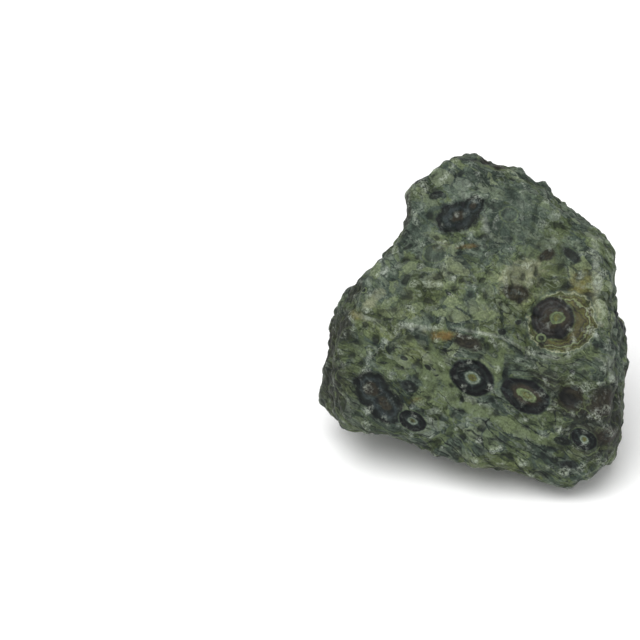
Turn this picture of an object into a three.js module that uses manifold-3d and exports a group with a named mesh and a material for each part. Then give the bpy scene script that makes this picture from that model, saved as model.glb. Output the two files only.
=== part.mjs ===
// A rough, fist-sized lump of kambaba jasper, broken from a larger boulder: one solid stone.
// Millimetres, +Z up. The origin is on the surface that the stone rests on, under the middle of its box.
// The stone is a set of fracture faces, cut to the outline that it shows from the front,
// then scarred, worn and roughened.

import * as THREE from 'three';
import { ImprovedNoise } from 'three/addons/math/ImprovedNoise.js';
import { mergeVertices } from 'three/addons/utils/BufferGeometryUtils.js';
import Module from 'manifold-3d';

// Driving dimensions
const lookDown = THREE.MathUtils.degToRad(28); // how far the outline's plane leans back from upright
const coreHeight = 36.5; // the stone's core above the surface it rests on
const edgeSharpness = 22; // how crisply neighbouring faces meet
const rimGrowth = 1.025; // makes up for what the worn rim takes off the outline
const samplesPerPoint = 8; // of the smooth outline through its points
const meshDetail = 20; // subdivisions of the ball that the stone is shaped from
const mergeGap = 1e-5; // points closer than this are one
const ballDepth = 0.62; // the ball's depth to its width: the stone is that much flatter

// The outline from the front, clockwise from the upper left: across and up from the core.
const outline = [
  [-17, 30.5], [-16.5, 38], [-10, 42.5], [-4.5, 41], [-1.5, 45.5], [1, 47.5], [3.5, 43.5],
  [5.5, 39], [11, 43], [15, 40.5], [21, 34], [26.5, 29], [32.5, 26], [34, 22.5], [37.5, 18],
  [36, 9], [35.5, 2], [42, -1.5], [39.5, -6.5], [40, -13], [40, -18], [45, -26], [39, -29],
  [39, -33.5], [33.5, -36.5], [27.5, -40.5], [26, -43], [22, -45], [14, -43.5], [9, -44],
  [-1, -35], [-9.5, -33.5], [-15.5, -30.5], [-22, -28.5], [-33, -28.5], [-42, -29.5],
  [-45.5, -23], [-39.5, -16], [-37.5, -9.5], [-37, -4.5], [-35.5, 4.5], [-32.5, 11.5],
  [-24, 15], [-17.5, 20.5], [-15.5, 24],
];

// The large fracture faces. A face turns its back on the core: azimuth 0 is towards the front (-Y),
// 90 to the right (+X), elevation is above the horizon, both in degrees, distance from the core.
const fractureFaces = [
  { name: 'front lower', azimuth: -8, elevation: 11, distance: 23.5 },
  { name: 'front upper', azimuth: 5, elevation: 38, distance: 22.8 },
  { name: 'left lower', azimuth: -58, elevation: -6, distance: 41 },
  { name: 'left upper', azimuth: -78, elevation: 34, distance: 35 },
  { name: 'right', azimuth: 74, elevation: 6, distance: 40 },
  { name: 'right shoulder', azimuth: 94, elevation: 56, distance: 38.5 },
  { name: 'crown', azimuth: 150, elevation: 74, distance: 45 },
  { name: 'back upper', azimuth: 170, elevation: 21, distance: 34 },
  { name: 'back right', azimuth: 128, elevation: 4, distance: 35 },
  { name: 'back left', azimuth: -128, elevation: 10, distance: 32 },
  { name: 'back foot', azimuth: 178, elevation: -32, distance: 34 },
  { name: 'left foot', azimuth: -84, elevation: -50, distance: 44 },
  { name: 'foot', azimuth: 20, elevation: -86, distance: 37.3 },
];

// Hollows, ledges and swellings on the front (side 1) or the back (side -1), placed as the front's
// view shows them: across and up from the core, their half widths, the turn of the long axis in
// degrees, how deep they go (a swelling rises) and the share of the half width that the wall takes
// (1 is a bowl, less is a flat-floored step).
const reliefForms = [
  {
    name: 'dish of the large eye',
    side: 1, at: [21, 6], size: [13.5, 18], turn: 8, depth: 3, wall: 0.8,
  },
  {
    name: 'hollow under the crown',
    side: 1, at: [4, 22], size: [17, 11], turn: -24, depth: 1.5, wall: 1,
  },
  {
    name: 'crest between the faces',
    side: 1, at: [-12, -1.2], size: [24, 3.4], turn: -6, depth: -0.8, wall: 1,
  },
  {
    name: 'crest, right half',
    side: 1, at: [16, -9.2], size: [18, 3.2], turn: -8, depth: -0.8, wall: 1,
  },
  {
    name: 'pit over the first eye',
    side: 1, at: [-0.6, -5.4], size: [4.8, 2.6], turn: -20, depth: 1.0, wall: 0.8,
  },
  {
    name: 'hollow of the right eyes',
    side: 1, at: [29, -20.5], size: [12, 6], turn: -8, depth: 1.8, wall: 0.5,
  },
  {
    name: 'hollow of the low eyes',
    side: 1, at: [31, -30.5], size: [9, 4.4], turn: -12, depth: 1.6, wall: 0.5,
  },
  {
    name: 'hollow of the left orb',
    side: 1, at: [-24.5, -18], size: [9, 7], turn: -30, depth: 1.5, wall: 0.6,
  },
  {
    name: 'ledge under the top orb',
    side: 1, at: [-4, 29], size: [9, 5], turn: 28, depth: 1.2, wall: 0.4,
  },
  {
    name: 'swelling at the lower edge',
    side: 1, at: [2, -31], size: [20, 6], turn: -14, depth: -1.5, wall: 1,
  },
  {
    name: 'left step',
    side: 1, at: [-37, -12], size: [9, 17], turn: -20, depth: 1.6, wall: 0.35,
  },
  {
    name: 'back scoop, high',
    side: -1, at: [8, 20], size: [20, 14], turn: 20, depth: 3.5, wall: 0.8,
  },
  {
    name: 'back scoop, left',
    side: -1, at: [-18, -6], size: [13, 18], turn: -15, depth: 3, wall: 0.6,
  },
  {
    name: 'back ledge',
    side: -1, at: [16, -14], size: [20, 11], turn: 24, depth: 2.4, wall: 0.35,
  },
  {
    name: 'back swelling',
    side: -1, at: [4, 0], size: [12, 8], turn: 30, depth: -2.2, wall: 1,
  },
];

const formFade = 7; // over how much depth these forms die out towards the rim

// Shell-shaped scars left where flakes broke away
const scars = { count: 120, radius: [16, 40], depth: [0.3, 1.3], seed: 3 };

// Roughness of the broken surface: wavelength and height of each octave. The first swells and sinks
// smoothly; the others rise into crests, as broken stone does.
const swell = { wavelength: 24, height: 1.4 };
const crests = [
  { wavelength: 12, height: 1.8 },
  { wavelength: 6.5, height: 1.6 },
  { wavelength: 4, height: 1 },
];
const octaveShift = new THREE.Vector3(3.7, 8.2, 2.6); // keeps the octaves from lining up
const crestMean = 0.2; // keeps the crests from adding to the stone's size
const rimRoughness = 0.6; // share of the roughness at the rim, where the outline has its own
const rimBand = 0.35; // how far that reaches in from the rim, as a sine

// Wear of the arrises: how often and how far each point moves towards its neighbours
const wear = { passes: 2, share: 0.5 };

const across = new THREE.Vector3(1, 0, 0);
const upward = new THREE.Vector3(0, Math.sin(lookDown), Math.cos(lookDown));
const outward = new THREE.Vector3(0, -Math.cos(lookDown), Math.sin(lookDown));

const stoneMaterial = new THREE.MeshStandardMaterial({
  name: 'kambaba_jasper',
  color: new THREE.Color().setRGB(0.33, 0.38, 0.32, THREE.SRGBColorSpace),
  roughness: 0.72,
  metalness: 0,
});

/** Repeatable random numbers from 0 to 1. */
function seededRandom(seed) {
  let state = seed;
  return () => {
    state = (state * 1664525 + 1013904223) % 4294967296;
    return state / 4294967296;
  };
}

/** A function that gives the outline's radius at an angle round the core. */
function outlineRadius() {
  const curve = new THREE.CatmullRomCurve3(
    outline.map(([x, y]) => new THREE.Vector3(x, y, 0)), true, 'centripetal');
  const samples = curve.getPoints(outline.length * samplesPerPoint)
    .map((point) => ({ angle: Math.atan2(point.y, point.x), radius: point.length() }))
    .sort((a, b) => a.angle - b.angle);
  const last = samples[samples.length - 1];
  const ring = [
    { angle: last.angle - 2 * Math.PI, radius: last.radius },
    ...samples,
    { angle: samples[0].angle + 2 * Math.PI, radius: samples[0].radius },
  ];
  return (angle) => {
    const next = ring.findIndex((sample) => sample.angle > angle);
    const [a, b] = [ring[next - 1], ring[next]];
    return THREE.MathUtils.mapLinear(angle, a.angle, b.angle, a.radius, b.radius);
  };
}

/** A unit vector from an azimuth and an elevation in degrees. */
function facing(azimuth, elevation) {
  const turn = THREE.MathUtils.degToRad(azimuth);
  const rise = THREE.MathUtils.degToRad(elevation);
  return new THREE.Vector3(
    Math.sin(turn) * Math.cos(rise), -Math.cos(turn) * Math.cos(rise), Math.sin(rise));
}

/** Where a line from the core leaves the block of faces and outline: its length, and the slant there. */
function blockSurface(direction, radiusAt, faces) {
  const x = direction.dot(across);
  const y = direction.dot(upward);
  const size = Math.hypot(x, y);
  const rim = size / (radiusAt(Math.atan2(y, x)) * rimGrowth);
  const rimPull = rim ** edgeSharpness / Math.max(size, 1e-6) ** 2;
  const normal = across.clone().multiplyScalar(x).addScaledVector(upward, y).multiplyScalar(rimPull);
  let closeness = rim ** edgeSharpness;
  for (const face of faces) {
    const near = Math.max(face.normal.dot(direction) / face.distance, 0);
    closeness += near ** edgeSharpness;
    normal.addScaledVector(face.normal, near ** (edgeSharpness - 1) / face.distance);
  }
  return { reach: closeness ** (-1 / edgeSharpness), normal: normal.normalize() };
}

/** How far the broad hollows sink the surface at a point (less where it swells). */
function formDepth(point) {
  const height = point.dot(outward);
  let depth = 0;
  for (const form of reliefForms) {
    const shown = THREE.MathUtils.smoothstep(height * form.side, 0, formFade);
    const turn = THREE.MathUtils.degToRad(form.turn);
    const dx = point.dot(across) - form.at[0];
    const dy = point.dot(upward) - form.at[1];
    const along = (dx * Math.cos(turn) + dy * Math.sin(turn)) / form.size[0];
    const aside = (dy * Math.cos(turn) - dx * Math.sin(turn)) / form.size[1];
    const inside = 1 - Math.hypot(along, aside);
    depth += form.depth * shown * THREE.MathUtils.smoothstep(inside, 0, form.wall);
  }
  return depth;
}

/** The balls whose surfaces are the flake scars, spread evenly round the block. */
function scarBalls(surfaceAt) {
  const random = seededRandom(scars.seed);
  const between = ([low, high]) => low + (high - low) * random();
  const goldenTurn = Math.PI * (3 - Math.sqrt(5));
  return Array.from({ length: scars.count }, (_, i) => {
    const z = 1 - (2 * (i + 0.5)) / scars.count;
    const turn = i * goldenTurn + random();
    const flat = Math.sqrt(1 - z * z);
    const direction = new THREE.Vector3(flat * Math.cos(turn), flat * Math.sin(turn), z);
    const { reach, normal } = surfaceAt(direction);
    const radius = between(scars.radius);
    const depth = between(scars.depth);
    const centre = direction.multiplyScalar(reach).addScaledVector(normal, radius - depth);
    return { centre, radius };
  });
}

/** The reach along a direction once the flake scars have bitten into it. */
function scarredReach(direction, reach, balls) {
  let left = reach;
  for (const { centre, radius } of balls) {
    const nearest = centre.dot(direction);
    const half = radius * radius - centre.lengthSq() + nearest * nearest;
    if (nearest > 0 && half > 0) left = Math.min(left, nearest - Math.sqrt(half));
  }
  return left;
}

/** The height of the rough surface at a point. */
function roughHeight(noise, point) {
  const noiseAt = (wavelength, octave) => {
    const place = point.clone().divideScalar(wavelength).addScaledVector(octaveShift, octave + 1);
    return noise.noise(place.x, place.y, place.z);
  };
  return crests.reduce(
    (sum, { wavelength, height }, i) => (
      sum + height * (crestMean - Math.abs(noiseAt(wavelength, i + 1)))),
    swell.height * noiseAt(swell.wavelength, 0));
}

/** Wears the arrises: each reach moves part of the way to the mean of the reaches next to it. */
function wornReaches(reaches, corners) {
  let worn = reaches;
  for (let pass = 0; pass < wear.passes; pass += 1) {
    const sums = new Float64Array(worn.length);
    const counts = new Float64Array(worn.length);
    for (let i = 0; i < corners.length; i += 3) {
      const [a, b, c] = [corners[i], corners[i + 1], corners[i + 2]];
      for (const [own, next] of [[a, b], [b, c], [c, a]]) {
        sums[own] += worn[next];
        counts[own] += 1;
      }
    }
    worn = worn.map((reach, i) => THREE.MathUtils.lerp(reach, sums[i] / counts[i], wear.share));
  }
  return worn;
}

/** The whole lump as a closed ball of triangles, its core at the origin. */
function lumpGeometry() {
  const radiusAt = outlineRadius();
  const noise = new ImprovedNoise();
  const faces = fractureFaces.map(({ azimuth, elevation, distance }) => (
    { normal: facing(azimuth, elevation), distance }));
  const surfaceAt = (direction) => blockSurface(direction, radiusAt, faces);
  const balls = scarBalls(surfaceAt);
  const geometry = new THREE.IcosahedronGeometry(1, meshDetail);
  geometry.deleteAttribute('normal');
  geometry.deleteAttribute('uv');
  const ball = mergeVertices(geometry, mergeGap);
  const vertices = ball.attributes.position;
  const directions = Array.from({ length: vertices.count }, (_, i) => (
    across.clone().multiplyScalar(vertices.getX(i))
      .addScaledVector(upward, vertices.getY(i))
      .addScaledVector(outward, vertices.getZ(i) * ballDepth)
      .normalize()));
  const surfaces = directions.map(surfaceAt);
  const broken = directions.map((direction, i) => {
    const { reach } = surfaces[i];
    const point = direction.clone().multiplyScalar(reach);
    return scarredReach(direction, reach, balls) - formDepth(point);
  });
  const worn = wornReaches(broken, ball.index.array);
  directions.forEach((direction, i) => {
    const point = direction.clone().multiplyScalar(worn[i]);
    const rimShare = THREE.MathUtils.smoothstep(Math.abs(direction.dot(outward)), 0, rimBand);
    const rise = roughHeight(noise, point) * THREE.MathUtils.lerp(rimRoughness, 1, rimShare);
    vertices.setXYZ(i, ...point.addScaledVector(surfaces[i].normal, rise));
  });
  return ball;
}

/** A geometry as a manifold solid. */
function toSolid(wasm, geometry) {
  const clean = geometry.clone();
  clean.deleteAttribute('normal');
  clean.deleteAttribute('uv');
  const merged = mergeVertices(clean, mergeGap);
  return new wasm.Manifold(new wasm.Mesh({
    numProp: 3,
    vertProperties: new Float32Array(merged.attributes.position.array),
    triVerts: new Uint32Array(merged.index.array),
  }));
}

/** A manifold solid as a geometry. */
function toGeometry(solid) {
  const { vertProperties, triVerts } = solid.getMesh();
  const geometry = new THREE.BufferGeometry();
  geometry.setAttribute('position', new THREE.BufferAttribute(vertProperties, 3));
  geometry.setIndex(new THREE.BufferAttribute(triVerts, 1));
  geometry.computeVertexNormals();
  return geometry;
}

/** The stone: the lump with its foot cut flat, standing on the origin. */
function stoneGeometry(wasm) {
  const lump = lumpGeometry();
  lump.translate(0, 0, coreHeight);
  const groundSize = 200;
  const ground = new THREE.BoxGeometry(groundSize, groundSize, groundSize);
  ground.translate(0, 0, -groundSize / 2);
  const stone = toGeometry(toSolid(wasm, lump).subtract(toSolid(wasm, ground)));
  stone.computeBoundingBox();
  const middle = stone.boundingBox.getCenter(new THREE.Vector3());
  stone.translate(-middle.x, -middle.y, 0);
  return stone;
}

const wasm = await Module();
wasm.setup();

const rough = new THREE.Group();
const stone = new THREE.Mesh(stoneGeometry(wasm), stoneMaterial);
stone.name = 'stone';
rough.add(stone);

export default rough;
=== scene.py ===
"""Looks of a rough lump of green kambaba jasper: its broken surface, its orbs and a plain studio.

The stone's sizes are in millimetres. Meshes, lights and the camera take them in metres.
"""

import logging
import math
from dataclasses import dataclass, field
from enum import Enum, IntEnum

import bmesh
import bpy
import numpy as np
from mathutils import Matrix, Vector
from mathutils.bvhtree import BVHTree


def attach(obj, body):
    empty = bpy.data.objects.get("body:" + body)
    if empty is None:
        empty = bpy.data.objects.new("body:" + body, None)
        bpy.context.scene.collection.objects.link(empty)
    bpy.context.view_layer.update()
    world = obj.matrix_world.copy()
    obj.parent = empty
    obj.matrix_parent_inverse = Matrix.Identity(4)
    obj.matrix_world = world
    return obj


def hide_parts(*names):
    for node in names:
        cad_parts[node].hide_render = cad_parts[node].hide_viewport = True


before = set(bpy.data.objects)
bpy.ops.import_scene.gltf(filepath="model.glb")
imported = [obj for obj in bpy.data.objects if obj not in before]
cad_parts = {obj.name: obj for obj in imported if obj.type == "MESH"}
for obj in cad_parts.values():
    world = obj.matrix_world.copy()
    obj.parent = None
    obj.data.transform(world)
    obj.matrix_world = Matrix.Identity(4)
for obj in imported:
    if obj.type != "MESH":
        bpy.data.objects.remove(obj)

LOG = logging.getLogger("kambaba")
MM = 0.001
FAR = 6.0  # no mark is looked at from further away than this many of its radii

Number = float | int
Pair = tuple[float, float]
Triple = tuple[float, float, float]


def linear(colour: tuple[Number, Number, Number]) -> tuple[float, float, float, float]:
    """Turns a colour as a screen shows it into the light that it stands for.

    Args:
        colour: Red, green and blue from 0 to 255.

    Returns:
        The linear colour, with full opacity.
    """
    shares = [value / 255 for value in colour]
    light = [s / 12.92 if s <= 0.04045 else ((s + 0.055) / 1.055) ** 2.4 for s in shares]
    return (*light, 1.0)


class Hue(Enum):
    """Colours of the stone, each red, green and blue from 0 to 255."""

    BLACK = (13, 16, 18)
    INK = (28, 35, 33)
    SLATE = (50, 58, 60)
    BLUE_GREY = (84, 95, 92)
    DEEP_TEAL = (49, 59, 51)
    DIM_TEAL = (63, 75, 66)
    TEAL = (79, 92, 81)
    GREY_GREEN = (99, 113, 98)
    PALE_GREY_GREEN = (129, 140, 125)
    DEEP_MOSS = (48, 57, 38)
    MOSS = (67, 77, 50)
    DIM_SAGE = (85, 98, 68)
    SAGE = (110, 124, 88)
    PALE_SAGE = (134, 146, 110)
    OLIVE = (93, 96, 54)
    BROWN_OLIVE = (84, 80, 52)
    MUSTARD = (120, 111, 62)
    RUST = (120, 94, 52)
    SMOKE = (60, 60, 58)
    BROWN_GREY = (70, 68, 58)
    UMBER = (53, 49, 40)
    DARK_UMBER = (36, 33, 28)
    CREAM = (160, 164, 134)
    ASH = (168, 176, 162)
    CHALK = (196, 204, 194)


Ramp = dict[float, Hue]  # each colour by how far along it stands


class Flow:
    """A number, a colour or a vector on its way through a node tree."""

    def __init__(self, graph: "Graph", socket: bpy.types.NodeSocket) -> None:
        """Wraps an output socket of one of the graph's nodes."""
        self.graph = graph
        self.socket = socket

    @property
    def is_vector(self) -> bool:
        """Whether more than one number runs through the socket."""
        return self.socket.type in {"VECTOR", "RGBA"}

    def __add__(self, other: "Flow | Number") -> "Flow":
        """Adds."""
        return self.graph.maths("ADD", self, other)

    def __sub__(self, other: "Flow | Number | tuple") -> "Flow":
        """Subtracts."""
        return self.graph.maths("SUBTRACT", self, other)

    def __rsub__(self, other: Number) -> "Flow":
        """Subtracts from a plain number."""
        return self.graph.maths("SUBTRACT", other, self)

    def __mul__(self, other: "Flow | Number") -> "Flow":
        """Multiplies."""
        return self.graph.maths("MULTIPLY", self, other)

    def __truediv__(self, other: "Flow | Number") -> "Flow":
        """Divides."""
        return self.graph.maths("DIVIDE", self, other)

    def least(self, other: "Flow | Number") -> "Flow":
        """The smaller of the two."""
        return self.graph.maths("MINIMUM", self, other)

    def most(self, other: "Flow | Number") -> "Flow":
        """The larger of the two."""
        return self.graph.maths("MAXIMUM", self, other)

    def fold(self, width: Number) -> "Flow":
        """Runs up and down between nothing and a width."""
        return self.graph.maths("PINGPONG", self, width)

    def rise(self, low: Number, high: Number) -> "Flow":
        """Rises smoothly from 0 to 1.

        Args:
            low: Where it is still 0.
            high: Where it is 1. It falls where this is the smaller.

        Returns:
            The share.
        """
        flip = low > high
        first, last = (high, low) if flip else (low, high)
        steps = self.graph.node(
            "ShaderNodeMapRange",
            {"interpolation_type": "SMOOTHSTEP"},
            {"Value": self, "From Min": first, "From Max": last},
        )
        risen = Flow(self.graph, steps.outputs["Result"])
        return 1 - risen if flip else risen


class Graph:
    """Writes nodes into a shader or geometry tree."""

    def __init__(self, tree: bpy.types.NodeTree) -> None:
        """Starts with an empty tree."""
        self.tree = tree
        tree.nodes.clear()

    def node(self, kind: str, settings: dict | None = None, inputs: dict | None = None) -> bpy.types.Node:
        """Adds a node.

        Args:
            kind: The node's type.
            settings: Its options, set first. A ramp takes its stops as "stops".
            inputs: A value or a flow for each socket, by name or number.

        Returns:
            The new node.
        """
        made = self.tree.nodes.new(kind)
        for name, value in (settings or {}).items():
            if name == "stops":
                self._set_stops(made.color_ramp, value)
            else:
                setattr(made, name, value)
        for name, value in (inputs or {}).items():
            if isinstance(value, Flow):
                self.tree.links.new(value.socket, made.inputs[name])
            else:
                made.inputs[name].default_value = value
        return made

    @staticmethod
    def _set_stops(ramp: bpy.types.ColorRamp, stops: Ramp) -> None:
        """Gives a ramp its colours.

        Args:
            ramp: A node's new ramp.
            stops: The colours, from its start on.
        """
        while len(ramp.elements) > 1:
            ramp.elements.remove(ramp.elements[-1])
        ramp.elements[0].position = min(stops)
        for at, hue in stops.items():
            element = ramp.elements[0] if at == min(stops) else ramp.elements.new(at)
            element.color = linear(hue.value)

    def flow(self, kind: str, settings: dict | None = None, inputs: dict | None = None,
             output: str | int = 0) -> Flow:
        """Adds a node and returns one of its outputs.

        Args:
            kind: The node's type.
            settings: Its options.
            inputs: A value or a flow for each socket.
            output: The wanted output, by name or number.

        Returns:
            What leaves that output.
        """
        return Flow(self, self.node(kind, settings, inputs).outputs[output])

    def maths(self, operation: str, left: Flow | Number, right: Flow | Number) -> Flow:
        """Works out one operation, on vectors where either side is one.

        Args:
            operation: The operation's name, the same for numbers and vectors.
            left: The first operand.
            right: The second operand.

        Returns:
            The result.
        """
        sides = (left, right)
        if any(isinstance(side, Flow) and side.is_vector for side in sides):
            filled = [side if isinstance(side, (Flow, tuple)) else (side,) * 3 for side in sides]
            return self.flow("ShaderNodeVectorMath", {"operation": operation}, dict(enumerate(filled)))
        return self.flow("ShaderNodeMath", {"operation": operation}, dict(enumerate(sides)))

    def dot(self, vector: Flow, direction: Flow | Vector | Triple) -> Flow:
        """How far a vector reaches along a direction."""
        second = direction if isinstance(direction, Flow) else tuple(direction)
        return self.flow("ShaderNodeVectorMath", {"operation": "DOT_PRODUCT"}, {0: vector, 1: second}, "Value")

    def noise(self, place: Flow, size: Flow | float, detail: float = 2, roughness: float = 0.5,
              colour: bool = False) -> Flow:
        """Cloudy noise.

        Args:
            place: Where it is read, in millimetres.
            size: The width of its largest clouds.
            detail: How many finer octaves it has.
            roughness: How strong those are.
            colour: Whether to give three numbers instead of one.

        Returns:
            The noise, about 0.5 in the middle.
        """
        scale = self.maths("DIVIDE", 1, size) if isinstance(size, Flow) else 1 / size
        inputs = {"Vector": place, "Scale": scale, "Detail": detail, "Roughness": roughness}
        return self.flow("ShaderNodeTexNoise", {}, inputs, 1 if colour else 0)

    def cells(self, place: Flow, size: float, feature: str = "F1", output: str = "Distance") -> Flow:
        """Cells of a cracked pattern.

        Args:
            place: Where it is read, in millimetres.
            size: The width of a cell.
            feature: What is measured in each cell.
            output: The wanted output.

        Returns:
            That output; distances are in shares of the cell's width.
        """
        return self.flow("ShaderNodeTexVoronoi", {"feature": feature},
                         {"Vector": place, "Scale": 1 / size}, output)

    def attribute(self, name: str) -> Flow:
        """A number that the mesh keeps on its points."""
        return self.flow("ShaderNodeAttribute", {"attribute_name": name}, {}, "Fac")

    def ramp(self, share: Flow, stops: Ramp) -> Flow:
        """The colour that a share picks on a ramp."""
        return self.flow("ShaderNodeValToRGB", {"stops": stops}, {0: share}, "Color")

    def mix(self, share: Flow | Number, first: Flow | Hue, second: Flow | Hue, blend: str = "MIX") -> Flow:
        """Mixes two colours.

        Args:
            share: How much of the second shows.
            first: The colour underneath.
            second: The colour on top.
            blend: How the second goes on.

        Returns:
            The mixed colour.
        """
        sides = [linear(side.value) if isinstance(side, Hue) else side for side in (first, second)]
        return self.flow("ShaderNodeMix", {"data_type": "RGBA", "blend_type": blend},
                         {0: share, 6: sides[0], 7: sides[1]}, 2)


def show(name: str, data: bpy.types.ID) -> bpy.types.Object:
    """Puts a new object in the scene.

    Args:
        name: Its name.
        data: Its mesh, light or camera.

    Returns:
        The object.
    """
    made = bpy.data.objects.new(name, data)
    bpy.context.scene.collection.objects.link(made)
    return made


@dataclass(frozen=True)
class Facing:
    """A direction that the stone is seen from, and the plane through its core that squares up to it."""

    azimuth: float
    elevation: float

    @property
    def across(self) -> Vector:
        """To the right, level."""
        turn = math.radians(self.azimuth)
        return Vector((math.cos(turn), math.sin(turn), 0))

    @property
    def outward(self) -> Vector:
        """Towards the eye."""
        turn, lift = math.radians(self.azimuth), math.radians(self.elevation)
        return Vector((math.sin(turn) * math.cos(lift), -math.cos(turn) * math.cos(lift), math.sin(lift)))

    @property
    def upward(self) -> Vector:
        """Up in the plane."""
        return self.outward.cross(self.across)


class Apart(IntEnum):
    """How far from the others each noise is read, in mm, so that no two look alike."""

    KINKS = 5
    BLOTCHES = 9
    SMALL_CHIPS = 13
    TINT = 17
    CHIP_ZONES = 23
    FLECKS = 31
    HACKLES = 40
    WISPS = 55
    CRYSTALS = 71
    PITS = 90


class Side(Enum):
    """The sides that marks are placed from."""

    FRONT = Facing(0, 28)
    RIGHT = Facing(80, 12)
    LEFT = Facing(-80, 12)
    BACK = Facing(180, 15)
    TOP = Facing(150, 75)


@dataclass(frozen=True)
class Camera:
    """The camera, aimed so that the core lands beside the middle of the square picture."""

    core: Triple = (0.42, -2.53, 36.5)  # the stone's core, in mm
    lens: float = 100
    sensor: float = 36
    frame_px: float = 640
    core_px: Pair = (472, 321.5)
    mm_per_px: float = 0.26  # in the plane through the core

    @property
    def focal_px(self) -> float:
        """The focal length in picture elements."""
        return self.frame_px * self.lens / self.sensor

    @property
    def pan(self) -> float:
        """How far the camera turns left of the core, in radians."""
        return math.atan((self.core_px[0] - self.frame_px / 2) / self.focal_px)

    @property
    def distance(self) -> float:
        """From the core to the lens, in mm."""
        return self.mm_per_px * self.focal_px / math.cos(self.pan) ** 2

    def eye(self, side: Side) -> Vector:
        """Where an eye at the camera's distance looks at a side from, in mm."""
        return Vector(self.core) + side.value.outward * self.distance

    def build(self) -> None:
        """Makes the camera, as the scene's own."""
        front = Side.FRONT.value
        tilt = math.atan((self.frame_px / 2 - self.core_px[1]) / self.focal_px)
        level = -math.cos(self.pan) * front.outward - math.sin(self.pan) * front.across
        right = math.cos(self.pan) * front.across - math.sin(self.pan) * front.outward
        ahead = math.cos(tilt) * level - math.sin(tilt) * front.upward
        up = math.cos(tilt) * front.upward + math.sin(tilt) * level
        made = bpy.data.cameras.new("camera")
        made.lens = self.lens
        made.sensor_width = self.sensor
        made.clip_start = 0.02
        placed = show("camera", made)
        turned = Matrix((right, up, -ahead)).transposed().to_4x4()
        placed.matrix_world = Matrix.Translation(self.eye(Side.FRONT) * MM) @ turned
        bpy.context.scene.camera = placed


class Mark(Enum):
    """What a mark in the stone is."""

    EYE = "dark ring round a pale core"
    TARGET = "brown-black disc"
    HALO = "thin olive and pale rings round the target"
    SLATE = "blue-black orb, faintly ringed"
    UMBER = "dark brown orb"
    RINGLET = "thin pale ring"
    CORE = "pale-green core"
    LENS = "small black lens"
    GHOST = "faint grey-green orb"
    CHIP = "pale angular chip"
    SAGE = "pale-green band"
    OLIVE = "yellow-green stain"
    MUSTARD = "mustard stain"
    RUST = "orange-brown stain"
    CREAM = "cream patch"
    ASH = "whitish patch"
    # Partly the stone's dark brown crust and partly painted shadow, on the left lobe and along the lower right
    # rim.
    SHADE = "dark brown crust and painted shadow"
    TEAL = "plain teal patch"
    DUN = "dull brown-green zone"


@dataclass(frozen=True)
class Spot:
    """A mark, as its side shows it: millimetres across and up from the core, half sizes, turn in degrees."""

    mark: Mark
    side: Side
    at: Pair
    size: Pair
    turn: float


@dataclass(frozen=True)
class PlacedSpot:
    """A mark on the stone: its centre and half sizes in mm, and the directions of its axes."""

    mark: Mark
    centre: Vector
    axes: Matrix  # its three directions, as columns
    radii: Triple

    def away(self, points: np.ndarray) -> np.ndarray:
        """How far points lie from the mark.

        Args:
            points: One row each, in mm.

        Returns:
            0 at the mark's centre, 1 at its edge, and more outside.
        """
        own = (points - np.array(self.centre)) @ np.array(self.axes) / np.array(self.radii)
        return np.linalg.norm(own, axis=1)


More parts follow.
